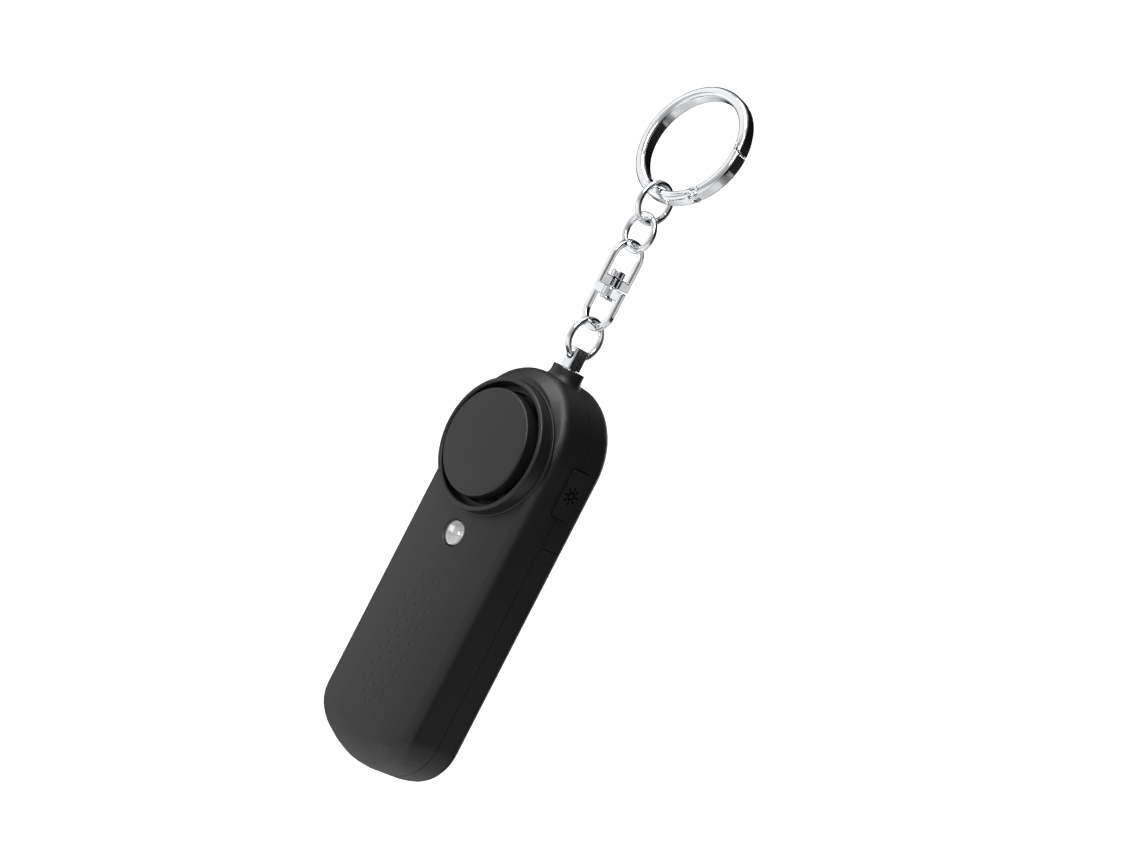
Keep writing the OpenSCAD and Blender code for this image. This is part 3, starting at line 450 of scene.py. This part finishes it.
def even_shading(piece):
    """Weights a piece's corner normals by face area, so that large faces stay calm."""
    weighted = piece.modifiers.new("even", "WEIGHTED_NORMAL")
    weighted.keep_sharp = True
    weighted.weight = EVEN_WEIGHT
    bake(piece)


grip = {"Column pitch": 1.88 * MM, "Row pitch": 3.8 * MM, "Rows": GRIP_ROWS,
        "Ball radius": GRIP_BALL_R}
grip_tree, given = node_group("grip_dimples", grip)
ball = add(grip_tree, "GeometryNodeMeshUVSphere", {"Segments": BALL_SIDES, "Rings": BALL_SIDES},
           {"Radius": given["Ball radius"]})
field = add(grip_tree, "GeometryNodeJoinGeometry")
for column in range(-(GRIP_COLUMNS // 2), GRIP_COLUMNS // 2 + 1):
    # A column further out starts half a row higher and has one dimple less, as on the real grip.
    sums = []
    for operation, label, number in (("MULTIPLY", "Column pitch", column),
                                     ("MULTIPLY", "Row pitch", abs(column) / 2),
                                     ("SUBTRACT", "Rows", abs(column))):
        worked = add(grip_tree, "ShaderNodeMath", {"operation": operation}, {0: given[label]})
        worked.inputs[1].default_value = number
        sums.append(worked.outputs[0])
    across, up, count = sums
    start = add(grip_tree, "ShaderNodeCombineXYZ", links={"X": across, "Z": up})
    start.inputs["Y"].default_value = CROWN_R - math.sqrt(
        CROWN_R ** 2 - (column * grip["Column pitch"]) ** 2)
    step = add(grip_tree, "ShaderNodeCombineXYZ", links={"Z": given["Row pitch"]})
    line = add(grip_tree, "GeometryNodeMeshLine", links={
        "Count": count, "Start Location": start.outputs[0], "Offset": step.outputs[0]})
    copies = add(grip_tree, "GeometryNodeInstanceOnPoints", links={
        "Points": line.outputs["Mesh"], "Instance": ball.outputs["Mesh"]})
    grip_tree.links.new(copies.outputs["Instances"], field.inputs["Geometry"])
close_group(grip_tree, field.outputs["Geometry"], given["Material"])
balls = grow("grip_dimples", grip_tree, grip, black_plastic)
for corner in balls.data.vertices:
    corner.co += Vector((foot.x, foot.y - CASE_FRONT + GRIP_DEPTH - GRIP_BALL_R,
                         foot.z + GRIP_FOOT))

cap_low, cap_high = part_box("siren_cap")
cap_z = (cap_low.z + cap_high.z) / 2
seam_y = foot.y + SEAM_BACK - SEAM_GAP / 2


def on_collar_foot(corner):
    """Tells whether a corner lies on the round outline of the siren collar's foot."""
    reach = math.hypot(corner.co.x - foot.x, corner.co.z - cap_z)
    return abs(reach - COLLAR_FOOT_R) < FOOT_NEAR


# The front's rim carries a low lip inside the seam, so that no light passes between the halves,
# and the foot of the siren's collar has a small round edge that catches the light.
front = smooth_copy("front_shell", CASE_CREASE)
front_form = bmesh.new()
front_form.from_mesh(front.data)
seam_rim = [face for face in front_form.faces if face.normal.y > SQUARE_ON
            and abs(face.calc_center_median().y - seam_y) < SEAM_NEAR]
bmesh.ops.inset_region(front_form, faces=seam_rim, use_boundary=True, use_even_offset=True,
                       thickness=LIP_INSET, depth=LIP_HEIGHT)
foot_edges = [edge for edge in front_form.edges
              if edge.is_convex and edge.calc_face_angle(0) > SHARP
              and all(on_collar_foot(corner) for corner in edge.verts)]
bmesh.ops.bevel(front_form, geom=foot_edges, offset=FOOT_EDGE, segments=EDGE_STEPS,
                affect="EDGES", profile=0.5)
shade_smooth(front_form)
front_form.to_mesh(front.data)
front_form.free()
carve(front, balls)
even_shading(front)
stand_for(front, "front_shell", "casing", black_plastic)
for node, body in (("rear_shell", "casing"), ("battery_cover", "cover")):
    half = smooth_copy(node, CASE_CREASE)
    even_shading(half)
    stand_for(half, node, body, black_plastic)
stand_for(smooth_copy("siren_cap", CREASE), "siren_cap", "casing",
          black_plastic)


# Sounder
# A brass disc with a fired ceramic layer and two covered leads, clamped behind the cap against a
# ring of soft foam.

# Closed-cell foam: dull and porous, with cells of 0.3 mm that swallow the light.
coat("siren_gasket", surface("closed_cell_foam", "#202021", "#2b2b2c", patch=0.8,
                             rough=(0.85, 0.95), grain=0.3, bump=0.6))
# Brass coloured near black as painted shade, so that the sound gap behind the cap stays dark, with a
# satin face. Its ripple is 0.4 mm.
coat("sounder_disc", surface("sounder_disc_painted_shade", "#121110", "#181614", patch=4.0,
                             rough=(0.4, 0.5), grain=0.4, bump=0.08))
# Fired ceramic with a silver wash: pale, chalky and matt, with a fired grain of 0.2 mm.
coat("sounder_ceramic", surface("fired_silver_ceramic", "#cfccc3", "#dedbd2", patch=2.0,
                                rough=(0.5, 0.65), grain=0.2, bump=0.15))
# Soft wire cover: smooth red with a waxy gloss and hardly any grain.
coat("sounder_leads", surface("red_wire_cover", "#8a1f18", "#9c261d", patch=2.0,
                              rough=(0.35, 0.45), grain=0.2, bump=0.05))


# Lamp
# A clear cast lens with the cup and the two posts of the light source inside it, on two wire legs.
# It is pushed into the casing's front from behind.
CLEAR_IOR = 1.53
CUP_R = 2.3 * MM
CUP_INSIDE = 0.35 * MM
CUP_SIDES = 40
POST_FOOT = 0.2 * MM
POST_HIGH = 0.4 * MM
POST_STEPS = 3
FRAME_WELD = 0.001 * MM
# Cast resin: clear as water, with one sharp highlight and a bent view of what is inside it. The
# mould leaves a very faint ripple of 0.4 mm.
clear_plastic = surface("clear_cast_resin", "#f4f5f6", "#ffffff", patch=4.0, rough=(0.04, 0.08),
                        grain=0.4, bump=0.02)
clear_shader = clear_plastic.node_tree.nodes["Principled BSDF"]
clear_shader.inputs["Transmission Weight"].default_value = 1.0
clear_shader.inputs["IOR"].default_value = CLEAR_IOR
stand_for(smooth_copy("lamp_lens", CREASE), "lamp_lens", "casing",
          clear_plastic)
coat("lamp_leads", spring_steel)

lamp_low, lamp_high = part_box("lamp_lens")
lamp_z = (lamp_low.z + lamp_high.z) / 2
cup_y = lamp_high.y - CUP_INSIDE
frame_form = bmesh.new()


def post(form, x, width, height, reach, edge):
    """Adds a block that stands out of the cup along the lamp's axis, with its edges rounded."""
    near, far = cup_y - reach, cup_y + POST_FOOT
    placed = Matrix.Translation((foot.x + x, (near + far) / 2, lamp_z + POST_HIGH))
    sized = Matrix.Diagonal((width, far - near, height, 1))
    made = bmesh.ops.create_cube(form, size=1, matrix=placed @ sized)
    edges = dict.fromkeys(side_line for corner in made["verts"] for side_line in corner.link_edges)
    bmesh.ops.bevel(form, geom=list(edges), offset=edge, segments=POST_STEPS, affect="EDGES",
                    profile=0.5)


# The cup's profile: shares of its radius, and depths in millimetres.
cup_profile = ((0.0, 0.25), (0.55, 0.25), (0.85, 0.1), (1.0, -0.55), (1.0, 0.3), (0.0, 0.3))
cup_line = [frame_form.verts.new((foot.x + share * CUP_R, cup_y + depth * MM, lamp_z))
            for share, depth in cup_profile]
cup_edges = [frame_form.edges.new(pair) for pair in zip(cup_line, cup_line[1:])]
bmesh.ops.spin(frame_form, geom=cup_line + cup_edges, angle=math.tau, steps=CUP_SIDES,
               use_merge=True, axis=(0, 1, 0), cent=(foot.x, cup_y, lamp_z))
bmesh.ops.remove_doubles(frame_form, verts=frame_form.verts, dist=FRAME_WELD)
post(frame_form, x=-0.95 * MM, width=1.4 * MM, height=1.3 * MM, reach=2.0 * MM, edge=0.12 * MM)
post(frame_form, x=1.05 * MM, width=1.0 * MM, height=1.0 * MM, reach=1.8 * MM, edge=0.3 * MM)
bmesh.ops.recalc_face_normals(frame_form, faces=frame_form.faces)
shade_smooth(frame_form)
lamp_frame = as_object(frame_form, "lamp_frame")
# Silvered frame: nearly white and softly bright, so that two pale shapes show through the lens.
lamp_frame.data.materials.append(surface("silvered_lead_frame", "#f6f6f6", "#ffffff", patch=1.0,
                                         rough=(0.4, 0.5), grain=0.2, bump=0.1))
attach(lamp_frame, "casing")


# Light button
# A moulded cap in the casing's side, over the plunger of its switch. A small sun sign is sunk in
# its face, and its recess is coloured blacker than the plastic as painted shade.
SIGN_DEPTH = 0.18 * MM
SUN_IN_R = 0.5 * MM
SUN_OUT_R = 1.0 * MM
SUN_SIDES = 36
RECESS_SHADE_SHINE = 0.1
RECESS_SHADE_DEEPEST = 1.5
RECESS_SHADE_SHALLOWEST = 0.1
button_low, button_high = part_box("light_button")
button_face = Vector((button_high.x, (button_low.y + button_high.y) / 2,
                      (button_low.z + button_high.z) / 2))
sign = {"Rays": 8, "Ray radius": 1.55 * MM, "Ray length": 0.75 * MM, "Ray width": 0.5 * MM,
        "Depth": 2 * SIGN_DEPTH}
sign_tree, given = node_group("sun_sign", sign)
spots = add(sign_tree, "GeometryNodeMeshCircle", {"fill_type": "NONE"}, {
    "Vertices": given["Rays"], "Radius": given["Ray radius"]})
ray_size = add(sign_tree, "ShaderNodeCombineXYZ", links={
    "X": given["Ray length"], "Y": given["Ray width"], "Z": given["Depth"]})
ray = add(sign_tree, "GeometryNodeMeshCube", links={"Size": ray_size.outputs["Vector"]})
outward = add(sign_tree, "FunctionNodeAlignRotationToVector", {"axis": "X"}, {
    "Vector": add(sign_tree, "GeometryNodeInputPosition").outputs["Position"]})
rays = add(sign_tree, "GeometryNodeInstanceOnPoints", links={
    "Points": spots.outputs["Mesh"], "Instance": ray.outputs["Mesh"],
    "Rotation": outward.outputs["Rotation"]})
close_group(sign_tree, rays.outputs["Instances"], given["Material"])
sun = grow("sun_sign", sign_tree, sign, black_plastic)
sun_form = bmesh.new()
sun_form.from_mesh(sun.data)
rim = [sun_form.verts.new((reach, 0, height)) for reach, height in (
    (SUN_IN_R, -SIGN_DEPTH), (SUN_OUT_R, -SIGN_DEPTH),
    (SUN_OUT_R, SIGN_DEPTH), (SUN_IN_R, SIGN_DEPTH))]
rim_edges = [sun_form.edges.new((rim[i], rim[(i + 1) % len(rim)])) for i in range(len(rim))]
bmesh.ops.spin(sun_form, geom=rim + rim_edges, angle=math.tau, steps=SUN_SIDES, use_merge=True,
               axis=(0, 0, 1), cent=(0, 0, 0))
bmesh.ops.recalc_face_normals(sun_form, faces=sun_form.faces)
sun_form.transform(Matrix.Translation(button_face) @ Matrix.Rotation(math.pi / 2, 4, "Y"))
sun_form.to_mesh(sun.data)
sun_form.free()
button = smooth_copy("light_button", CREASE)
carve(button, sun)
stand_for(button, "light_button", "button", black_plastic)
# Painted shade in the sign's recess: blacker than the plastic round it, with hardly any sheen, so
# that the sign can be read.
recess_shade = surface("sign_recess_painted_shade", "#020202", "#040404", patch=2.0, rough=(0.85, 0.95), grain=0.1,
              bump=0.1)
recess_shade.node_tree.nodes["Principled BSDF"].inputs["Specular IOR Level"].default_value = RECESS_SHADE_SHINE
button.data.materials.append(recess_shade)
sign_reach = sign["Ray radius"] + sign["Ray length"]
# The floor and walls of the sign's recess get the painted shade.
for face in button.data.polygons:
    off = face.center - button_face
    if (-RECESS_SHADE_DEEPEST * SIGN_DEPTH < off.x < -RECESS_SHADE_SHALLOWEST * SIGN_DEPTH
            and math.hypot(off.y, off.z) < sign_reach):
        face.material_index = 1
# Filled moulding resin: an even dark grey with a satin face. Its fine grain is drawn coarser, at
# 0.15 mm.
switch_plastic = surface("moulded_switch_plastic", "#2a2a2c", "#323234", patch=3.0,
                         rough=(0.4, 0.5), grain=0.15, bump=0.15)
for node in ("switch_plunger", "light_switch", "control_chip"):
    coat(node, switch_plastic)


# Screws
# Two plated steel screws with cross recesses, driven through the back into the front half.
# The recesses are cut with one pair of crosses.
screw_low, screw_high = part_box("case_screws")
SCREW_COUNT = 2
SCREW_HEAD_R = (screw_high.z - screw_low.z) / 2
recess = {"Spacing": screw_high.x - screw_low.x - 2 * SCREW_HEAD_R, "Arm length": 1.9 * MM,
          "Arm width": 0.45 * MM, "Depth": 1.2 * MM}
recess_tree, given = node_group("cross_recesses", recess)
spacing = add(recess_tree, "ShaderNodeCombineXYZ", links={"X": given["Spacing"]})
heads = add(recess_tree, "GeometryNodeMeshLine", {"Count": SCREW_COUNT},
            {"Offset": spacing.outputs["Vector"]})
cross = add(recess_tree, "GeometryNodeMeshBoolean", {"operation": "UNION"})
for long_side, short_side in (("X", "Z"), ("Z", "X")):
    arm = add(recess_tree, "ShaderNodeCombineXYZ", links={
        long_side: given["Arm length"], short_side: given["Arm width"], "Y": given["Depth"]})
    block = add(recess_tree, "GeometryNodeMeshCube", links={"Size": arm.outputs["Vector"]})
    recess_tree.links.new(block.outputs["Mesh"], cross.inputs["Mesh 2"])
crosses = add(recess_tree, "GeometryNodeInstanceOnPoints", links={
    "Points": heads.outputs["Mesh"], "Instance": cross.outputs["Mesh"]})
close_group(recess_tree, crosses.outputs["Instances"], given["Material"])
cross_cut = grow("cross_recesses", recess_tree, recess, spring_steel)
for corner in cross_cut.data.vertices:
    corner.co += Vector((screw_low.x + SCREW_HEAD_R, screw_high.y,
                         (screw_low.z + screw_high.z) / 2))
screws = smooth_copy("case_screws", CREASE)
carve(screws, cross_cut)
stand_for(screws, "case_screws", "casing", spring_steel)


# Board and its parts
# A lacquered glass-fibre board behind the siren, with a coil soldered on it and sprung brass
# strips that touch the pull pin and the cells.

# Lacquered board: deep green with an even gloss. The glass weave is drawn as a grain of 0.5 mm.
coat("circuit_board", surface("lacquered_board", "#12492a", "#185a34", patch=5.0,
                              rough=(0.25, 0.35), grain=0.5, bump=0.1))
# Enamelled copper wire: reddish metal, broken into fine glints by its turns of 0.2 mm.
coat("step_up_coil", surface("enamelled_copper", "#a65a2a", "#b8683a", patch=1.0,
                             rough=(0.3, 0.4), grain=0.2, bump=0.2, metal=1.0))
# Rolled brass: warm yellow metal with a soft, brushed light. The rolling marks are drawn coarser.
brass = surface("rolled_brass", "#c9a35a", "#d8b56c", patch=4.0, rough=(0.22, 0.34), grain=0.4,
                bump=0.08, metal=1.0)
for node in ("pin_contact_left", "pin_contact_right", "battery_contacts"):
    coat(node, brass)


# Batteries
# Two plain jacketed cells, held between conical springs of steel wire and flat brass strips.
# Their jackets are shrunk on and carry no print.

# Metallised shrink film: a grey satin that runs in long highlights along the cell.
cell_jacket = surface("metallised_cell_jacket", "#4a4f55", "#535960", patch=8.0,
                      rough=(0.28, 0.36), grain=0.3, bump=0.05, metal=0.6)
for node in ("battery_left", "battery_right"):
    coat(node, cell_jacket)
coat("battery_springs", spring_steel)
